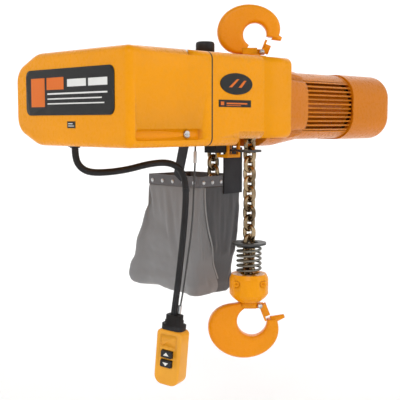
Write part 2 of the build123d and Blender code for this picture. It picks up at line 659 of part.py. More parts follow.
# top hook
add("top_hook", top_hook())
nut = along_z(TOP - 21, TOP - 8.4, 18) - along_z(TOP - 25, TOP - 8, HOOK_SHANK)
add("top_hook_nut", nut)
add("top_latch", latch(TOP_PIVOT, TOP_LATCH_TIP, 22))
add("top_latch_pin", latch_pin(TOP_PIVOT))

# chains, block, spring and bottom hook
add("load_chain", chain(LOAD_LINKS, 0))
add("slack_chain", chain(SLACK_LINKS, SLACK_Y))
add("chain_guide", chain_guide())
add("limit_lever", limit_lever())
add("limit_switch", block(-46, -17, 44, 74, -240, CASE_BOTTOM))
add("block_front", block_half(-1))
add("block_rear", block_half(1))
add("block_bolts", block_bolts())
add("chain_pin", along_y(-24, 24, CHAIN_PIN_R, 0, CHAIN_PIN_Z))
add("hook_bearing", along_z(BLOCK_BOTTOM + 8, BLOCK_BOTTOM + 12.6, 18.5)
    - along_z(-600, -400, HOOK_SHANK + FIT))
add("bottom_hook", bottom_hook())
add("bottom_hook_nut", along_z(BLOCK_BOTTOM + 12.9, BLOCK_BOTTOM + 19.4, 17.5)
    - along_z(-600, -400, HOOK_SHANK))
add("bottom_latch", latch(BOTTOM_PIVOT, BOTTOM_LATCH_TIP, 24))
add("bottom_latch_pin", latch_pin(BOTTOM_PIVOT))
add("cushion_spring", cushion_spring())
add("spring_plate", spring_plate())

# bag
add("chain_bag", chain_bag())
add("bag_rim", bag_rim())
add("bag_bracket", bag_bracket())
add("bag_strap", bag_strap())

# pendant
add("pendant_cord", tube_on(CORD_ROUTE, CORD_D, "pendant cord"))
add("strain_wire", tube_on(WIRE_ROUTE, 3.2, "strain wire"))
add("handset_boot", handset_boot())
add("handset_front", handset(handset_front()))
add("handset_back", handset(handset_back()))
add("handset_switches", handset_switches())
add("button_up", button(BUTTON_Z[0]))
add("button_down", button(BUTTON_Z[1]))

# plates
plate = extrude_x(Pos(79, -133) * RectangleRounded(240, 76, 12), COVER_END - 1.2, COVER_END)
face = Plane(origin=(-120, FRONT, -118), x_dir=(1, 0, 0), z_dir=(0, -1, 0))
badge = extrude(face * Ellipse(40, 18), 1.2)
strip = extrude(face * Pos(-3, -33) * Rectangle(80, 12), 0.8)
add("nameplates", [plate, badge, strip])

os.makedirs("parts", exist_ok=True)
for name, part in PARTS.items():
    part.label = name
    export_step(part, os.path.join("parts", name + ".step"))
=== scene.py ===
import json
import math

import bmesh
import bpy
from mathutils import Matrix, Vector, noise

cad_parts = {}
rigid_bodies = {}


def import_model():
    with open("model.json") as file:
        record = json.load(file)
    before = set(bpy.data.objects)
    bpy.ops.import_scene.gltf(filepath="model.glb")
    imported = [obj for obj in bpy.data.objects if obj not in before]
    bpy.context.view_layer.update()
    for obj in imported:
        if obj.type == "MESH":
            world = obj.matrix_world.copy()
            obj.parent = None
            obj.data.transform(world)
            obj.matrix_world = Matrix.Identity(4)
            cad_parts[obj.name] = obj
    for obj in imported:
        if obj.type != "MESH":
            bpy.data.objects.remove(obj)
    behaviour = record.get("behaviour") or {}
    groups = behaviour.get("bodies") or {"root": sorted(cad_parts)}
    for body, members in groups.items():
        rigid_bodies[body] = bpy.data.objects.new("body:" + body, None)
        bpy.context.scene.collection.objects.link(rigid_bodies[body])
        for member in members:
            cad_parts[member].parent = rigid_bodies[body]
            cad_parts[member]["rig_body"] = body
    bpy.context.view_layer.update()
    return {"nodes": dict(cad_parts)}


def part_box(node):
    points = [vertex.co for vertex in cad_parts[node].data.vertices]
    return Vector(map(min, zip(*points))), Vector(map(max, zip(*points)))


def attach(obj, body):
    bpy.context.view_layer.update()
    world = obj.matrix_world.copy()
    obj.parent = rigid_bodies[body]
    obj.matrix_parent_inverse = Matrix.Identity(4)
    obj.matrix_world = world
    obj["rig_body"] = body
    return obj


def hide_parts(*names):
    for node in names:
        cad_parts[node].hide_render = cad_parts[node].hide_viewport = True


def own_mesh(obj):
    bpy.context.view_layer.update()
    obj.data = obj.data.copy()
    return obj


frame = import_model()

# Electric chain hoist: the casings, hooks and chains keep the shape of the frame's
# nodes and get smoothed, finished copies; the bag, the pendant lead, the chains'
# finish, rivets, key arrows and plates are made here. Metres, +Z up.

MM = 0.001

# Driving sizes, in metres
LINK_WIRE, LINK_PITCH, LINK_WIDE = 7.9 * MM, 18.5 * MM, 29.8 * MM
LINK_RISE = 17.3 * MM          # from a link's middle to the top of the CAD link
BAG_SKIN, BAG_STEP = 0.0016, 0.0145      # cloth thickness; how far the lower front stands back
CLOTH_FRAMES, CLOTH_MOVE = 22, 0.009     # length of the cloth run; the most that a point may move
THREAD_U, THREAD_V = 0.0033, 0.0042      # metres of cloth between columns and between rows
RIVET_R, RIVET_RISE, RIVETS = 0.0042, 0.0022, 5
PRINT_RISE, PRINT_THICK = 0.00005, 0.0003
GROUND_Z, GROUND_R, GROUND_BEND, WALL_TOP = -0.80, 3.0, 1.0, 4.0


# ---- shader groups ------------------------------------------------------
def group_sockets(tree, inputs, outputs):
    for name, kind, value in inputs:
        socket = tree.interface.new_socket(name, in_out="INPUT", socket_type="NodeSocket" + kind)
        socket.default_value = value
    for name, kind in outputs:
        tree.interface.new_socket(name, in_out="OUTPUT", socket_type="NodeSocket" + kind)
    return tree.nodes.new("NodeGroupInput"), tree.nodes.new("NodeGroupOutput")


def wired(tree, kind, settings=None, **inputs):
    """A node with its settings and its inputs set or linked; underscores stand for spaces."""
    node = tree.nodes.new(kind)
    for key, value in (settings or {}).items():
        setattr(node, key, value)
    for key, value in inputs.items():
        socket = node.inputs[int(key[1:])] if key[0] == "_" else node.inputs[key.replace("_", " ")]
        if isinstance(value, bpy.types.NodeSocket):
            tree.links.new(value, socket)
        else:
            socket.default_value = value
    return node


def maths(tree, operation, a, b=0.0):
    return wired(tree, "ShaderNodeMath", {"operation": operation}, _0=a, _1=b).outputs[0]


def make_paint_group():
    """Sprayed enamel on cast metal: slow colour drift, orange peel, fine pits and dust on upward faces."""
    tree = bpy.data.node_groups.new("enamel_on_casting", "ShaderNodeTree")
    into, out = group_sockets(
        tree,
        [("Paint", "Color", (0.8, 0.4, 0.02, 1)), ("Bare", "Color", (0.3, 0.2, 0.1, 1)),
         ("Peel", "Float", 1.0), ("Wear", "Float", 0.5), ("Dust", "Float", 0.2)],
        [("Color", "Color"), ("Roughness", "Float"), ("Height", "Float")])
    place = wired(tree, "ShaderNodeTexCoord").outputs["Object"]
    drift = wired(tree, "ShaderNodeTexNoise", Vector=place, Scale=7.0, Detail=3.0)
    peel = wired(tree, "ShaderNodeTexNoise", Vector=place, Scale=420.0, Detail=2.0)
    pits = wired(tree, "ShaderNodeTexNoise", Vector=place, Scale=130.0, Detail=5.0, Roughness=0.7)
    shade = wired(tree, "ShaderNodeHueSaturation", Color=into.outputs["Paint"])
    low = maths(tree, "MULTIPLY_ADD", drift.outputs["Fac"], 0.24)
    tree.links.new(low, shade.inputs["Value"])
    low.node.inputs[2].default_value = 0.87
    edge = wired(tree, "ShaderNodeNewGeometry").outputs["Pointiness"]
    sharp = wired(tree, "ShaderNodeMapRange", Value=edge, _1=0.56, _2=0.66).outputs["Result"]
    broken = wired(tree, "ShaderNodeMapRange", Value=pits.outputs["Fac"], _1=0.52, _2=0.66).outputs["Result"]
    worn = maths(tree, "MULTIPLY", maths(tree, "MULTIPLY", sharp, broken), into.outputs["Wear"])
    mixed = wired(tree, "ShaderNodeMix", {"data_type": "RGBA"}, _0=worn, _6=shade.outputs["Color"],
                  _7=into.outputs["Bare"])
    normal = wired(tree, "ShaderNodeNewGeometry").outputs["Normal"]
    up = wired(tree, "ShaderNodeSeparateXYZ", Vector=normal).outputs["Z"]
    settle = wired(tree, "ShaderNodeMapRange", Value=up, _1=0.5, _2=1.0).outputs["Result"]
    patches = maths(tree, "MULTIPLY", settle, drift.outputs["Fac"])
    film = maths(tree, "MULTIPLY", patches, into.outputs["Dust"])
    dusty = wired(tree, "ShaderNodeMix", {"data_type": "RGBA"}, _0=film, _6=mixed.outputs[2],
                  _7=(0.55, 0.5, 0.42, 1))
    tree.links.new(dusty.outputs[2], out.inputs["Color"])
    rough = maths(tree, "MULTIPLY_ADD", pits.outputs["Fac"], 0.16)
    rough.node.inputs[2].default_value = 0.2
    tree.links.new(maths(tree, "ADD", rough, maths(tree, "MULTIPLY", film, 0.5)), out.inputs["Roughness"])
    height = maths(tree, "MULTIPLY", peel.outputs["Fac"], into.outputs["Peel"])
    tree.links.new(maths(tree, "ADD", height, pits.outputs["Fac"]), out.inputs["Height"])
    return tree


def make_grain_group():
    """Moulded or machined surface: two scales of grain that drive colour, roughness and height."""
    tree = bpy.data.node_groups.new("surface_grain", "ShaderNodeTree")
    into, out = group_sockets(
        tree,
        [("Base", "Color", (0.1, 0.1, 0.1, 1)), ("Marks", "Color", (0.2, 0.2, 0.2, 1)),
         ("Scale", "Float", 200.0),
         ("Mark Amount", "Float", 0.3), ("Roughness", "Float", 0.4), ("Spread", "Float", 0.2)],
        [("Color", "Color"), ("Roughness", "Float"), ("Height", "Float")])
    place = wired(tree, "ShaderNodeTexCoord").outputs["Object"]
    grain = wired(tree, "ShaderNodeTexNoise", Vector=place, Scale=into.outputs["Scale"], Detail=4.0)
    broad = wired(tree, "ShaderNodeTexNoise", Vector=place, Scale=24.0, Detail=4.0)
    patch = wired(tree, "ShaderNodeMapRange", Value=broad.outputs["Fac"], _1=0.35, _2=0.75).outputs["Result"]
    amount = maths(tree, "MULTIPLY", patch, into.outputs["Mark Amount"])
    mixed = wired(tree, "ShaderNodeMix", {"data_type": "RGBA"}, _0=amount, _6=into.outputs["Base"],
                  _7=into.outputs["Marks"])
    tree.links.new(mixed.outputs[2], out.inputs["Color"])
    shift = maths(tree, "MULTIPLY", grain.outputs["Fac"], into.outputs["Spread"])
    tree.links.new(maths(tree, "ADD", shift, into.outputs["Roughness"]), out.inputs["Roughness"])
    tree.links.new(grain.outputs["Fac"], out.inputs["Height"])
    return tree


def make_weave_group():
    """Plain weave on a UV map in metres: threads over and under, slubs and fading."""
    tree = bpy.data.node_groups.new("canvas_weave", "ShaderNodeTree")
    into, out = group_sockets(
        tree,
        [("Thread", "Color", (0.2, 0.2, 0.2, 1)), ("Shadow", "Color", (0.1, 0.1, 0.1, 1)),
         ("Threads per metre", "Float", 900.0), ("Fading", "Float", 0.4)],
        [("Color", "Color"), ("Roughness", "Float"), ("Height", "Float")])
    place = wired(tree, "ShaderNodeUVMap", {"uv_map": "cloth"}).outputs["UV"]
    object_place = wired(tree, "ShaderNodeTexCoord").outputs["Object"]
    parts = wired(tree, "ShaderNodeSeparateXYZ", Vector=place)
    turns = maths(tree, "MULTIPLY", into.outputs["Threads per metre"], math.pi)
    wave_u = maths(tree, "SINE", maths(tree, "MULTIPLY", parts.outputs["X"], turns))
    wave_v = maths(tree, "SINE", maths(tree, "MULTIPLY", parts.outputs["Y"], turns))
    weave = maths(tree, "MULTIPLY", wave_u, wave_v)
    slub = wired(tree, "ShaderNodeTexNoise", Vector=object_place, Scale=260.0, Detail=3.0)
    fade = wired(tree, "ShaderNodeTexNoise", Vector=object_place, Scale=11.0, Detail=4.0)
    level = maths(tree, "MULTIPLY_ADD", weave, 0.25)
    level.node.inputs[2].default_value = 0.5
    tone = maths(tree, "ADD", level, maths(tree, "MULTIPLY", fade.outputs["Fac"], into.outputs["Fading"]))
    mixed = wired(tree, "ShaderNodeMix", {"data_type": "RGBA"}, _0=tone, _6=into.outputs["Shadow"],
                  _7=into.outputs["Thread"])
    tree.links.new(mixed.outputs[2], out.inputs["Color"])
    rough = maths(tree, "MULTIPLY_ADD", slub.outputs["Fac"], 0.2)
    rough.node.inputs[2].default_value = 0.62
    tree.links.new(rough, out.inputs["Roughness"])
    tree.links.new(maths(tree, "ADD", level, slub.outputs["Fac"]), out.inputs["Height"])
    return tree


GROUPS = {"paint": make_paint_group(), "grain": make_grain_group(), "weave": make_weave_group()}


# ---- materials ----------------------------------------------------------
def material(name, group, bump, distance, values, shader=None):
    """A Principled material whose colour, roughness and bump come from one of the groups."""
    made = bpy.data.materials.new(name)
    made.use_nodes = True
    tree = made.node_tree
    surface = tree.nodes["Principled BSDF"]
    effect = tree.nodes.new("ShaderNodeGroup")
    effect.node_tree = GROUPS[group]
    for key, value in values.items():
        effect.inputs[key].default_value = value
    tree.links.new(effect.outputs["Color"], surface.inputs["Base Color"])
    tree.links.new(effect.outputs["Roughness"], surface.inputs["Roughness"])
    bumped = wired(tree, "ShaderNodeBump", Strength=bump, Distance=distance, Height=effect.outputs["Height"])
    tree.links.new(bumped.outputs["Normal"], surface.inputs["Normal"])
    for key, value in (shader or {}).items():
        surface.inputs[key].default_value = value
    return made


def metal(name, base, marks, rough, spread=0.2, scale=300.0, amount=0.5, bump=0.15):
    values = {"Base": base, "Marks": marks, "Scale": scale, "Mark Amount": amount, "Roughness": rough,
              "Spread": spread}
    return material(name, "grain", bump, 0.0004, values, {"Metallic": 1.0})


def moulding(name, base, marks, rough, scale=500.0, amount=0.35, bump=0.25, coat=0.0):
    values = {"Base": base, "Marks": marks, "Scale": scale, "Mark Amount": amount, "Roughness": rough,
              "Spread": 0.15}
    return material(name, "grain", bump, 0.0003, values, {"Coat Weight": coat, "Specular IOR Level": 0.3})


YELLOW = (0.92, 0.345, 0.001, 1)
MATERIALS = {
    "casing_yellow": material(
        "casing_yellow", "paint", 0.18, 0.0006,
        {"Paint": YELLOW, "Bare": (0.34, 0.15, 0.03, 1), "Peel": 0.6, "Wear": 0.2, "Dust": 0.03},
        {"Coat Weight": 0.06, "Coat Roughness": 0.15, "Specular IOR Level": 0.14}),
    # motor_yellow is a darker copy of the casing yellow, for the motor bell, housing and fan cover
    "motor_yellow": material(
        "motor_yellow", "paint", 0.22, 0.0006,
        {"Paint": (0.68, 0.2, 0.003, 1), "Bare": (0.3, 0.12, 0.03, 1), "Peel": 0.6, "Wear": 0.25,
         "Dust": 0.03},
        {"Coat Weight": 0.05, "Coat Roughness": 0.2, "Specular IOR Level": 0.12}),
    "forged_yellow": material(
        "forged_yellow", "paint", 0.35, 0.001,
        {"Paint": (0.88, 0.3, 0.002, 1), "Bare": (0.3, 0.13, 0.03, 1), "Peel": 0.8, "Wear": 0.5,
         "Dust": 0.02},
        {"Coat Weight": 0.06, "Coat Roughness": 0.15, "Specular IOR Level": 0.2}),
    "grip_yellow": moulding("grip_yellow", (0.93, 0.42, 0.03, 1), (0.7, 0.27, 0.012, 1), 0.32, coat=0.1),
    "black_moulding": moulding("black_moulding", (0.012, 0.012, 0.013, 1), (0.03, 0.03, 0.032, 1), 0.36),
    "black_rubber": moulding("black_rubber", (0.011, 0.011, 0.012, 1), (0.04, 0.04, 0.045, 1), 0.5, 900.0),
    "key_black": moulding("key_black", (0.01, 0.011, 0.013, 1), (0.02, 0.02, 0.024, 1), 0.28, coat=0.1),
    "plate_black": moulding("plate_black", (0.008, 0.008, 0.008, 1), (0.012, 0.011, 0.01, 1), 0.3),
    "print_white": moulding("print_white", (0.85, 0.85, 0.82, 1), (0.7, 0.7, 0.68, 1), 0.4),
    "print_orange": moulding("print_orange", (0.8, 0.17, 0.012, 1), (0.65, 0.13, 0.01, 1), 0.4),
    "zinc": metal("zinc", (0.62, 0.63, 0.64, 1), (0.4, 0.4, 0.38, 1), 0.28),
    "spring_steel": metal("spring_steel", (0.24, 0.23, 0.2, 1), (0.09, 0.075, 0.05, 1), 0.3),
    "disc_steel": metal("disc_steel", (0.11, 0.11, 0.11, 1), (0.05, 0.05, 0.045, 1), 0.42),
    "gear_steel": metal("gear_steel", (0.4, 0.4, 0.41, 1), (0.2, 0.19, 0.17, 1), 0.3),
    # the chain's near-black marks, laid on at 0.9, are painted dark reflections: patches standing in for the
    # darks between the links' highlights
    "chain_plate": metal(
        "chain_plate", (0.5, 0.37, 0.22, 1), (0.035, 0.022, 0.012, 1), 0.15, 0.16, 160.0, 0.9),
    "bag_canvas": material(
        "bag_canvas", "weave", 0.55, 0.0006,
        {"Thread": (0.26, 0.26, 0.265, 1), "Shadow": (0.13, 0.13, 0.135, 1), "Threads per metre": 620.0,
         "Fading": 0.5}, {"Sheen Weight": 0.25}),
    # a darker copy of the bag canvas: painted shade on the shaded front and the +X side of the bag
    "painted_shade_canvas": material(
        "painted_shade_canvas", "weave", 0.55, 0.0006,
        {"Thread": (0.075, 0.075, 0.08, 1), "Shadow": (0.03, 0.03, 0.034, 1), "Threads per metre": 620.0,
         "Fading": 0.5}, {"Sheen Weight": 0.25}),
    "winding_wrap": moulding("winding_wrap", (0.35, 0.09, 0.03, 1), (0.2, 0.05, 0.02, 1), 0.4),
    "rim_grey": moulding("rim_grey", (0.13, 0.13, 0.14, 1), (0.2, 0.2, 0.21, 1), 0.5),
    "webbing": moulding("webbing", (0.02, 0.021, 0.025, 1), (0.05, 0.05, 0.055, 1), 0.7, 800.0, 0.5, 0.6),
    "piping": moulding("piping", (0.33, 0.33, 0.33, 1), (0.2, 0.2, 0.2, 1), 0.6, 700.0),
}


# ---- helpers ------------------------------------------------------------
def link_object(name, data):
    made = bpy.data.objects.new(name, data)
    bpy.context.scene.collection.objects.link(made)
    return made


def mesh_object(name, bm, finish, smooth=True):
    bmesh.ops.recalc_face_normals(bm, faces=bm.faces)
    mesh = bpy.data.meshes.new(name)
    bm.to_mesh(mesh)
    bm.free()
    for m in finish if isinstance(finish, (list, tuple)) else [finish]:
        mesh.materials.append(MATERIALS[m])
    for face in mesh.polygons:
        face.use_smooth = smooth
    return link_object(name, mesh)


def body_of(node):
    return frame["nodes"][node]["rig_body"]


def dress(node, finish, angle=32.0):
    """A smoothed copy of a node with its finish, riding on the node's body in its place."""
    bm = bmesh.new()
    bm.from_mesh(frame["nodes"][node].data)
    bmesh.ops.remove_doubles(bm, verts=bm.verts, dist=2e-6)
    mesh = bpy.data.meshes.new(node + "_finished")
    bm.to_mesh(mesh)
    bm.free()
    mesh.materials.append(MATERIALS[finish])
    piece = link_object(node + "_finished", mesh)
    mesh.shade_smooth()
    mesh.set_sharp_from_angle(angle=math.radians(angle))
    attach(piece, body_of(node))
    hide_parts(node)
    return piece


def plain_mesh(obj, name):
    """The evaluated shape of an object as a new plain mesh object; the first object is removed."""
    bpy.context.view_layer.update()
    graph = bpy.context.evaluated_depsgraph_get()
    mesh = bpy.data.meshes.new_from_object(obj.evaluated_get(graph))
    bpy.data.objects.remove(obj)
    mesh.name = name
    return link_object(name, mesh)


# ---- pieces made of repeats --------------------------------------------
def repeat_tree(name, shape, finish):
    """Geometry Nodes: copies of shape on given points, every other one turned, realised and finished."""
    tree = bpy.data.node_groups.new(name, "GeometryNodeTree")
    tree.interface.new_socket("Places", in_out="INPUT", socket_type="NodeSocketGeometry")
    tree.interface.new_socket("Turn Between", in_out="INPUT", socket_type="NodeSocketFloat")
    tree.interface.new_socket("Geometry", in_out="OUTPUT", socket_type="NodeSocketGeometry")
    into, out = tree.nodes.new("NodeGroupInput"), tree.nodes.new("NodeGroupOutput")
    source = tree.nodes.new("GeometryNodeObjectInfo")
    source.inputs["Object"].default_value = shape
    place = tree.nodes.new("GeometryNodeInstanceOnPoints")
    tree.links.new(into.outputs["Places"], place.inputs["Points"])
    tree.links.new(source.outputs["Geometry"], place.inputs["Instance"])
    index = tree.nodes.new("GeometryNodeInputIndex")
    odd = maths(tree, "MODULO", index.outputs[0], 2.0)
    turn = wired(tree, "ShaderNodeCombineXYZ", Z=maths(tree, "MULTIPLY", odd, into.outputs["Turn Between"]))
    tree.links.new(turn.outputs[0], place.inputs["Rotation"])
    real = tree.nodes.new("GeometryNodeRealizeInstances")
    tree.links.new(place.outputs[0], real.inputs[0])
    paint = tree.nodes.new("GeometryNodeSetMaterial")
    paint.inputs["Material"].default_value = MATERIALS[finish]
    tree.links.new(real.outputs[0], paint.inputs[0])
    tree.links.new(paint.outputs[0], out.inputs[0])
    return tree


def repeated(name, places, shape, finish, turn):
    """Copies of shape at the vertices of the places mesh, as one plain mesh; shape is used up."""
    carrier = link_object(name + "_places", places)
    modifier = carrier.modifiers.new("repeat", "NODES")
    tree = repeat_tree(name + "_repeat", shape, finish)
    modifier.node_group = tree
    keys = {item.name: item.identifier for item in tree.interface.items_tree if item.in_out == "INPUT"}
    modifier[keys["Turn Between"]] = turn
    made = plain_mesh(carrier, name)
    bpy.data.objects.remove(shape)
    return made


def link_shape(wire, wide, long):
    """One chain link in the X-Z plane, a round bar bent to a stadium with a weld swelling."""
    bm = bmesh.new()
    around, along = 10, 40
    bend = (wide - wire) / 2
    straight = (long - wide) / 2
    rings = []
    for i in range(along):
        turn = 2 * math.pi * i / along
        c, s = math.cos(turn), math.sin(turn)
        centre = Vector((bend * c, 0, bend * s + math.copysign(straight, s) * min(1.0, abs(s) * 6)))
        outward = Vector((c, 0, s))
        weld = 1.0 + 0.05 * math.exp(-((turn - math.pi) / 0.16) ** 2)
        ring = []
        for k in range(around):
            a = 2 * math.pi * k / around
            ring.append(bm.verts.new(centre + (outward * math.cos(a) + Vector((0, math.sin(a), 0)))
                                     * wire / 2 * weld))
        rings.append(ring)
    for i in range(along):
        for k in range(around):
            here, after = rings[i], rings[(i + 1) % along]
            bm.faces.new((here[k], after[k], after[(k + 1) % around], here[(k + 1) % around]))
    return mesh_object("link_shape", bm, "chain_plate")


def chain_fall(node):
    """The links of one fall, alternately flat and upright, on the places of the node's links."""
    low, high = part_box(node)
    long = LINK_PITCH + 2 * LINK_WIRE
    count = round((high.z - low.z - long) / LINK_PITCH) + 1
    top = high.z - LINK_RISE
    x, y = (low.x + high.x) / 2, (low.y + high.y) / 2
    places = bpy.data.meshes.new(node + "_places")
    places.from_pydata([(x, y, top - LINK_PITCH * i) for i in range(count)], [], [])
    shape = link_shape(LINK_WIRE, LINK_WIDE, long)
    links = repeated(node + "_links", places, shape, "chain_plate", math.pi / 2)
    for face in links.data.polygons:
        face.use_smooth = True
    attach(links, body_of(node))
    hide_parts(node)


def snap_head(radius, rise):
    """Domed rivet head standing on the X-Y plane."""
    bm = bmesh.new()
    rows, around = 4, 14
    rings = []
    for i in range(rows):
        a = 0.5 * math.pi * i / rows
        rings.append([bm.verts.new((radius * math.cos(a) * math.cos(2 * math.pi * k / around),
                                    radius * math.cos(a) * math.sin(2 * math.pi * k / around),
                                    rise * math.sin(a))) for k in range(around)])
    top = bm.verts.new((0, 0, rise))
    for i in range(rows - 1):
        for k in range(around):
            n = (k + 1) % around
            bm.faces.new((rings[i][k], rings[i][n], rings[i + 1][n], rings[i + 1][k]))
    for k in range(around):
        bm.faces.new((rings[-1][k], rings[-1][(k + 1) % around], top))
    bm.faces.new(list(reversed(rings[0])))
    return mesh_object("snap_head", bm, "zinc")


# ---- chain bag ----------------------------------------------------------
RIM_LOW, RIM_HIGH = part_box("bag_rim")
BAG_LOW, BAG_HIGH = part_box("chain_bag")
BAG_ROWS = 56
FRONT, FRONT_SEAM_AND_SHADE, SIDE, CORNER = 34, 13, 40, 6   # columns of the cloth on each wall and in each corner


def smooth_step(a, b, x):
    t = min(1.0, max(0.0, (x - a) / (b - a)))
    return t * t * (3 - 2 * t)


def bag_section(z):
    """Half width and the front and back walls of the bag at height z."""
    down = (BAG_HIGH.z - z) / (BAG_HIGH.z - BAG_LOW.z)
    front = BAG_LOW.y + BAG_STEP * smooth_step(0.52, 0.76, down)
    back = RIM_HIGH.y + (BAG_HIGH.y - RIM_HIGH.y) * min(1.0, down * 1.08) ** 1.05
    round_off = smooth_step(0.88, 1.0, down)
    half = BAG_HIGH.x - 0.001 - 0.006 * round_off
    return half, front + 0.006 * round_off, back - 0.012 * round_off


def seam_and_shade_x(z):
    """Where the plain canvas ends and the darker canvas of painted shade starts on the front of the bag,
    along the piped seam: close to the corner above, swept in below.
    """
    down = (BAG_HIGH.z - z) / (BAG_HIGH.z - BAG_LOW.z)
    return BAG_LOW.x + 0.014 + 0.072 * smooth_step(0.0, 1.25, down) ** 1.35


def bag_ring(z):
    """Points round the bag at height z; column FRONT_SEAM_AND_SHADE of the front lies on the seam."""
    half, front, back = bag_section(z)
    down = (BAG_HIGH.z - z) / (BAG_HIGH.z - BAG_LOW.z)
    r = 0.008 + 0.012 * down
    seam = seam_and_shade_x(z)
    ring = []
    for i in range(FRONT):
        if i < FRONT_SEAM_AND_SHADE:
            x = -half + r + (seam + half - r) * i / FRONT_SEAM_AND_SHADE
        else:
            x = seam + (half - r - seam) * (i - FRONT_SEAM_AND_SHADE) / (FRONT - FRONT_SEAM_AND_SHADE)
        ring.append(Vector((x, front, z)))

    def corner(cx, cy, first):
        for i in range(CORNER):
            turn = math.radians(first + 90 * i / CORNER)
            ring.append(Vector((cx + r * math.cos(turn), cy + r * math.sin(turn), z)))

    corner(half - r, front + r, -90)
    ring += [Vector((half, front + r + (back - front - 2 * r) * i / SIDE, z)) for i in range(SIDE)]
    corner(half - r, back - r, 0)
    ring += [Vector((half - r - (2 * half - 2 * r) * i / FRONT, back, z)) for i in range(FRONT)]
    corner(-half + r, back - r, 90)
    ring += [Vector((-half, back - r - (back - front - 2 * r) * i / SIDE, z)) for i in range(SIDE)]
    corner(-half + r, front + r, 180)
    return ring


def bag_shape():
    """Open sack that hangs from the rim, closed below; its UV map 'cloth' is in metres."""
    bm = bmesh.new()
    uv = bm.loops.layers.uv.new("cloth")
    top, bottom = BAG_HIGH.z - 0.0005, BAG_LOW.z + 0.0015
    rings = [bag_ring(top + (bottom + 0.014 - top) * row / BAG_ROWS) for row in range(BAG_ROWS + 1)]
    base = rings[-1]
    around = len(base)
    middle = (min(p.y for p in base) + max(p.y for p in base)) / 2
    floor_steps = ((0.975, 0.006), (0.92, 0.0105), (0.8, 0.013), (0.6, 0.014), (0.4, 0.014), (0.2, 0.014))
    for shrink, drop in floor_steps:
        rings.append([Vector((p.x * shrink, middle + (p.y - middle) * shrink, p.z - drop)) for p in base])
    verts = [[bm.verts.new(p) for p in ring] for ring in rings]
    for row in range(len(verts) - 1):
        for k in range(around):
            n = (k + 1) % around
            face = bm.faces.new((verts[row][k], verts[row + 1][k], verts[row + 1][n], verts[row][n]))
            # the front right of the seam, its corner and the +X side take the darker canvas: painted shade
            face.material_index = 1 if FRONT_SEAM_AND_SHADE <= k < FRONT + CORNER + SIDE else 0
            steps = ((k, row), (k, row + 1), (k + 1, row + 1), (k + 1, row))
            for loop, (column, line) in zip(face.loops, steps):
                loop[uv].uv = (column * THREAD_U, -line * THREAD_V)
    last = bm.verts.new((0, middle, bottom))
    for k in range(around):
        face = bm.faces.new((verts[-1][k], last, verts[-1][(k + 1) % around]))
        for loop in face.loops:
            loop[uv].uv = (loop.vert.co.x, loop.vert.co.y)
    return bm


def fold_depth(p):
    """How far the cloth stands out or in at p: long hanging folds, creases and small buckles."""
    down = (BAG_HIGH.z - p.z) / (BAG_HIGH.z - BAG_LOW.z)
    hang = noise.noise(Vector((p.x * 24, p.y * 24, p.z * 4))) * 0.0055
    slant = noise.noise(Vector((p.x * 14 + p.z * 26, p.y * 14 + p.z * 26, 3.1))) * 0.0038
    buckle = noise.noise(Vector((p.x * 60, p.y * 60, p.z * 80))) * 0.0014
    return (hang + slant + buckle) * smooth_step(0.0, 0.16, down) * (1.0 - 0.55 * smooth_step(0.8, 1.0, down))


def settle(obj, cap):
    """A short cloth run: the sack drops and fills a little, held at its lip, no point moving past cap."""
    scene = bpy.context.scene
    before = [v.co.copy() for v in obj.data.vertices]
    held = obj.vertex_groups.new(name="lip")
    for v in obj.data.vertices:
        if v.co.z > BAG_HIGH.z - 0.006:
            held.add([v.index], 1.0, "REPLACE")
    cloth = obj.modifiers.new("hang", "CLOTH")
    cloth.settings.quality = 8
    cloth.settings.mass = 0.25
    cloth.settings.tension_stiffness = 25
    cloth.settings.compression_stiffness = 25
    cloth.settings.bending_stiffness = 0.4
    cloth.settings.vertex_group_mass = "lip"
    cloth.settings.use_pressure = True
    cloth.settings.uniform_pressure_force = 0.35
    cloth.settings.shrink_min = -0.015
    for frame_number in range(1, CLOTH_FRAMES + 1):
        scene.frame_set(frame_number)
    graph = bpy.context.evaluated_depsgraph_get()
    after = [v.co.copy() for v in obj.evaluated_get(graph).data.vertices]
    obj.modifiers.clear()
    obj.vertex_groups.clear()
    for v, old, new in zip(obj.data.vertices, before, after):
        step = new - old
        if step.length > cap:
            step = step.normalized() * cap
        v.co = old + step
    scene.frame_set(1)


def keep_inside(obj):
    """Keep the sack off the load line in front and inside its space."""
    for v in obj.data.vertices:
        _, front, _ = bag_section(v.co.z)
        v.co.y = max(v.co.y, front - 0.0015)
        v.co.z = max(v.co.z, BAG_LOW.z - 0.002)


def chain_bag():
    """The sack with its folds, a short cloth run and a thin skin."""
    bm = bag_shape()
    bm.normal_update()
    for v in bm.verts:
        v.co += v.normal * fold_depth(v.co)
    bag = mesh_object("chain_bag_cloth", bm, ["bag_canvas", "painted_shade_canvas"])
    settle(bag, CLOTH_MOVE)
    keep_inside(bag)
    bag.data.update()
    skin = bag.modifiers.new("skin", "SOLIDIFY")
    skin.thickness = BAG_SKIN
    skin.offset = -1
    bag = plain_mesh(bag, "chain_bag_cloth")
    for face in bag.data.polygons:
        face.use_smooth = True
    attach(bag, "hoist_body")
    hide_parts("chain_bag")


def tube_along(name, points, radius, finish):
    """A round bar on a smooth curve through the points."""
    data = bpy.data.curves.new(name, "CURVE")
    data.dimensions = "3D"
    spline = data.splines.new("NURBS")
    spline.points.add(len(points) - 1)
    for point, place in zip(spline.points, points):
        point.co = (*place, 1)
    spline.order_u = 3
    spline.use_endpoint_u = True
    data.bevel_depth = radius
    data.bevel_resolution = 3
    data.use_fill_caps = True
    data.materials.append(MATERIALS[finish])
    return plain_mesh(link_object(name, data), name)


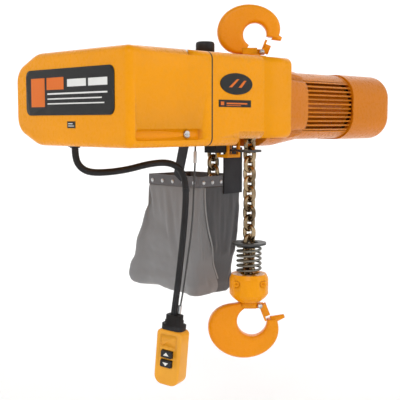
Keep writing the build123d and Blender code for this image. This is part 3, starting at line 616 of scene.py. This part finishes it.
def bag_trim():
    """Piping on the front seam and the rivets round the rim."""
    rows = 14
    seam = []
    for i in range(rows + 1):
        z = BAG_HIGH.z - 0.002 + (BAG_LOW.z + 0.03 - BAG_HIGH.z) * i / rows
        _, front, _ = bag_section(z)
        seam.append(Vector((seam_and_shade_x(z), front - 0.0012, z)))
    piping = tube_along("bag_piping", seam, 0.0016, "piping")
    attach(piping, "hoist_body")
    height = (RIM_LOW.z + RIM_HIGH.z) / 2 - 0.002
    spots = []
    wide, deep = RIM_HIGH.x - RIM_LOW.x, RIM_HIGH.y - RIM_LOW.y
    sides = [((RIM_LOW.x, RIM_LOW.y), (0, 1), deep, (-1, 0)), ((RIM_HIGH.x, RIM_LOW.y), (0, 1), deep, (1, 0)),
             ((RIM_LOW.x, RIM_LOW.y), (1, 0), wide, (0, -1)), ((RIM_LOW.x, RIM_HIGH.y), (1, 0), wide, (0, 1))]
    for start, way, length, out in sides:
        for i in range(RIVETS):
            run = length * (i + 0.5) / RIVETS
            x, y = start[0] + way[0] * run, start[1] + way[1] * run
            spots.append((Vector((x, y, height)), Vector((out[0], out[1], 0))))
    heads = []
    for place, out in spots:
        head = snap_head(RIVET_R, RIVET_RISE)
        turn = Vector((0, 0, 1)).rotation_difference(out).to_matrix().to_4x4()
        head.data.transform(Matrix.Translation(place) @ turn)
        heads.append(head)
    joined = join(heads, "rim_rivets")
    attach(joined, "hoist_body")


def join(pieces, name):
    """Several mesh objects as one piece; they share one finish."""
    bm = bmesh.new()
    for piece in pieces:
        bm.from_mesh(piece.data)
    finish = pieces[0].data.materials[0]
    mesh = bpy.data.meshes.new(name)
    bm.to_mesh(mesh)
    bm.free()
    mesh.materials.append(finish)
    for face in mesh.polygons:
        face.use_smooth = True
    for piece in pieces:
        bpy.data.objects.remove(piece)
    return link_object(name, mesh)


# ---- camera, light and ground -------------------------------------------
def aim(obj, place, azimuth, tilt):
    obj.location = place
    obj.rotation_euler = (math.radians(90 + tilt), 0, math.radians(azimuth))


def camera():
    data = bpy.data.cameras.new("view")
    data.lens = 72.0
    data.sensor_width = 36.0
    data.clip_end = 30.0
    eye = link_object("view", data)
    aim(eye, (-1.130, -0.998, -0.182), -45.0, -5.57)
    bpy.context.scene.camera = eye


def softbox(name, place, aimed_at, size, power, colour=(1, 1, 1)):
    data = bpy.data.lights.new(name, "AREA")
    data.shape = "RECTANGLE"
    data.size, data.size_y = size
    data.energy = power
    data.color = colour
    lamp = link_object(name, data)
    lamp.location = place
    lamp.rotation_euler = (Vector(aimed_at) - Vector(place)).to_track_quat("-Z", "Y").to_euler()


def studio():
    world = bpy.data.worlds.new("studio")
    world.use_nodes = True
    sky = world.node_tree.nodes["Background"]
    sky.inputs["Color"].default_value = (1.0, 1.0, 1.0, 1)
    sky.inputs["Strength"].default_value = 0.25
    bpy.context.scene.world = world
    softbox("key", (-2.2, -1.5, 1.6), (0, 0, -0.25), (1.6, 1.2), 18)
    softbox("fill", (0.9, -2.4, 0.5), (0, 0, -0.3), (1.6, 1.6), 7)
    softbox("ground_wash", (1.7, 1.7, 1.7), (2.0, 2.0, -0.8), (3.5, 3.5), 36)
    softbox("rim", (1.6, 1.8, 1.8), (0, 0, -0.3), (1.2, 1.2), 6)
    bpy.context.scene.view_settings.view_transform = "Standard"
    bpy.context.scene.view_settings.look = "None"


def stage():
    """Pale ground that curves up into a backdrop far behind the hoist."""
    paper = bpy.data.materials.new("paper")
    paper.use_nodes = True
    surface = paper.node_tree.nodes["Principled BSDF"]
    surface.inputs["Base Color"].default_value = (0.86, 0.86, 0.86, 1)
    surface.inputs["Roughness"].default_value = 0.9
    surface.inputs["Emission Color"].default_value = (1, 1, 1, 1)
    surface.inputs["Emission Strength"].default_value = 0.22
    bm = bmesh.new()
    rings = []
    around, steps = 64, 8
    profile = []
    for i in range(steps + 1):
        a = math.pi / 2 * i / steps
        profile.append((GROUND_R + GROUND_BEND * math.sin(a), GROUND_Z + GROUND_BEND * (1 - math.cos(a))))
    profile.append((GROUND_R + GROUND_BEND, WALL_TOP))
    for r, z in profile:
        turns = [math.tau * k / around for k in range(around)]
        rings.append([bm.verts.new((r * math.cos(t), r * math.sin(t), z)) for t in turns])
    bm.faces.new(rings[0])
    for low, high in zip(rings, rings[1:]):
        for k in range(around):
            n = (k + 1) % around
            bm.faces.new((low[k], low[n], high[n], high[k]))
    bmesh.ops.recalc_face_normals(bm, faces=bm.faces)
    mesh = bpy.data.meshes.new("ground")
    bm.to_mesh(mesh)
    bm.free()
    mesh.materials.append(paper)
    for face in mesh.polygons:
        face.use_smooth = len(face.vertices) == 4
    ground = link_object("ground", mesh)


# ---- cords --------------------------------------------------------------
CORD_ROUTE = [(-310, 125, -226), (-310, 125, -244), (-302, 122, -260), (-287, 116, -269), (-259, 106, -270),
              (-222, 92, -266), (-186, 79, -257), (-155, 67, -254), (-134, 60, -260), (-121, 55, -275),
              (-116, 53, -296), (-115, 54, -330), (-117, 57, -378), (-121, 61, -432), (-126, 65, -488),
              (-131, 70, -540)]
WIRE_ROUTE = [(-97, 47, -211), (-100, 44, -252), (-104, 44, -296), (-104, 46, -345), (-107, 50, -400),
              (-112, 56, -452), (-116, 61, -500), (-121, 67, -540)]


def cord(name, route, diameter, finish, node):
    data = bpy.data.curves.new(name, "CURVE")
    data.dimensions = "3D"
    data.resolution_u = 10
    spline = data.splines.new("NURBS")
    spline.points.add(len(route) - 1)
    for point, place in zip(spline.points, route):
        point.co = (place[0] * MM, place[1] * MM, place[2] * MM, 1)
    spline.order_u = 3
    spline.use_endpoint_u = True
    data.bevel_depth = diameter / 2
    data.bevel_resolution = 6
    data.use_fill_caps = True
    data.materials.append(MATERIALS[finish])
    lead = link_object(name, data)
    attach(lead, "hoist_body")
    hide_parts(node)
    return lead


# ---- plates, key arrows and small fittings ------------------------------
def flat_shapes(name, outlines, origin, across, up, out, finish):
    """Thin raised shapes from outlines in millimetres on the plane at origin."""
    bm = bmesh.new()
    for outline in outlines:
        low = [bm.verts.new(origin + across * (x * MM) + up * (y * MM)) for x, y in outline]
        high = [bm.verts.new(v.co + out * PRINT_THICK) for v in low]
        count = len(low)
        bm.faces.new(high)
        bm.faces.new(list(reversed(low)))
        for k in range(count):
            n = (k + 1) % count
            bm.faces.new((low[k], low[n], high[n], high[k]))
    return mesh_object(name, bm, finish, smooth=False)


def bar(x0, x1, y0, y1):
    return [(x0, y0), (x1, y0), (x1, y1), (x0, y1)]


def printed(name, outlines, origin, across, up, out, finish, body="hoist_body"):
    shapes = flat_shapes(name, outlines, origin, across, up, out, finish)
    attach(shapes, body)


def plates():
    """Generic bars and lines on the end plate, the round badge and the strip under it."""
    plates_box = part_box("nameplates")[0]
    left, up, out = Vector((0, -1, 0)), Vector((0, 0, 1)), Vector((-1, 0, 0))
    origin = Vector((plates_box.x - PRINT_RISE, 0.079, -0.133))
    bars = [bar(-104, -64, -24, 24), bar(-58, -10, 4, 24)]
    printed("plate_bars", bars, origin, left, up, out, "print_orange")
    lines = [bar(-56, 104, -4, -1.4), bar(-56, 90, -12, -10), bar(-56, 96, -20, -18)]
    lines += [bar(0, 50, 8, 20), bar(56, 104, 8, 20)]
    printed("plate_lines", lines, origin, left, up, out, "print_white")
    sticker = Vector((-0.35605, 0.071, -0.1865))
    printed("test_sticker", [bar(-11, 11, -5.5, 5.5)], sticker, left, up, out, "plate_black")
    marks = [bar(-8, 4, 1, 2.4), bar(-8, 8, -2.6, -1.4)]
    printed("test_marks", marks, sticker + out * PRINT_THICK, left, up, out, "print_white")
    right, near = Vector((1, 0, 0)), Vector((0, -1, 0))
    front = Vector((-0.120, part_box("nameplates")[0].y - PRINT_RISE, -0.118))
    glyph = [[(-20, -6), (0, 8), (6, 8), (-12, -6)], [(4, -6), (18, 6), (24, 6), (12, -6)]]
    printed("badge_mark", glyph, front, right, up, near, "print_orange")
    strip = Vector((-0.123, plates_box.y + 0.0004, -0.151))
    blocks = [bar(-36, -28, -3, 3), bar(-22, 30, -1.2, 1.2), bar(-22, 14, -4, -3)]
    printed("strip_mark", blocks, strip, right, up, near, "print_orange")


HANDSET_PLACE = (Matrix.Translation((-0.131, 0.070, -0.566)) @ Matrix.Rotation(math.radians(-73), 4, "Z")
                 @ Matrix.Rotation(math.radians(5), 4, "Y"))


def fittings():
    """A crimped clasp on the strain line, its end shackle by the boot, and a tie round the pendant lead."""
    clasp_line = [(-98.8, 45.5, -236), (-99.9, 44.4, -246), (-100.7, 44.0, -257)]
    shackle_line = [(-119.3, 65.0, -523), (-120.1, 66.0, -530), (-120.8, 66.8, -538)]
    tie_line = [(-115.5, 53.1, -303), (-115.2, 53.3, -309)]
    clasp = tube_along("strain_clasp", [Vector(p) * MM for p in clasp_line], 0.0034, "zinc")
    shackle = tube_along("strain_shackle", [Vector(p) * MM for p in shackle_line], 0.0036, "zinc")
    for piece in (clasp, shackle):
        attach(piece, "hoist_body")
    tie = tube_along("lead_tie", [Vector(p) * MM for p in tie_line], 0.0071, "key_black")
    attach(tie, "hoist_body")


def key_arrows():
    """A triangle standing on each key, pointing up and down."""
    turn = HANDSET_PLACE.to_3x3()
    across, up, out = turn @ Vector((1, 0, 0)), turn @ Vector((0, 0, 1)), turn @ Vector((0, -1, 0))
    for name, z, way in (("button_up", -44, 1), ("button_down", -62, -1)):
        origin = HANDSET_PLACE @ Vector((0, (-18 - 5 - 0.03) * MM, z * MM))
        outline = [(-6, -2.5 * way), (6, -2.5 * way), (0, 4 * way)]
        if way < 0:
            outline.reverse()
        printed(name + "_arrow", [outline], origin, across, up, out, "print_white", body_of(name))


FINISHES = {
    "casing_yellow": ["control_cover", "gear_case", "main_frame", "chain_guide", "block_front", "block_rear",
                      "block_bolts"],
    "motor_yellow": ["motor_bell", "motor_housing", "fan_cover"],
    "forged_yellow": ["top_hook", "bottom_hook", "top_latch", "bottom_latch"],
    "grip_yellow": ["handset_front", "handset_back"],
    "black_moulding": ["cable_gland", "oil_cap", "contactors", "limit_switch", "handset_switches",
                       "cooling_fan"],
    "black_rubber": ["cover_gasket", "handset_boot"],
    "key_black": ["button_up", "button_down"],
    "plate_black": ["nameplates"],
    "zinc": ["cover_screws", "control_plate", "case_bolts", "shaft_bearings", "hook_bearing",
             "top_latch_pin", "bottom_latch_pin"],
    "disc_steel": ["brake_disc", "spring_plate", "top_hook_nut", "bottom_hook_nut", "chain_pin",
                   "limit_lever"],
    "gear_steel": ["motor_shaft", "lay_gear", "load_gear", "load_sheave"],
    "winding_wrap": ["transformer", "stator", "brake_coil", "rotor_core"],
    "webbing": ["bag_strap", "bag_bracket"],
    "rim_grey": ["bag_rim"],
}


camera()
cord("pendant_lead", CORD_ROUTE, 0.012, "black_rubber", "pendant_cord")
cord("strain_line", WIRE_ROUTE, 0.0032, "disc_steel", "strain_wire")
studio()
stage()
for finish, nodes in FINISHES.items():
    for node in nodes:
        dress(node, finish)
spring = dress("cushion_spring", "spring_steel")
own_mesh(spring)
chain_fall("load_chain")
chain_fall("slack_chain")
chain_bag()
bag_trim()
plates()
fittings()
key_arrows()
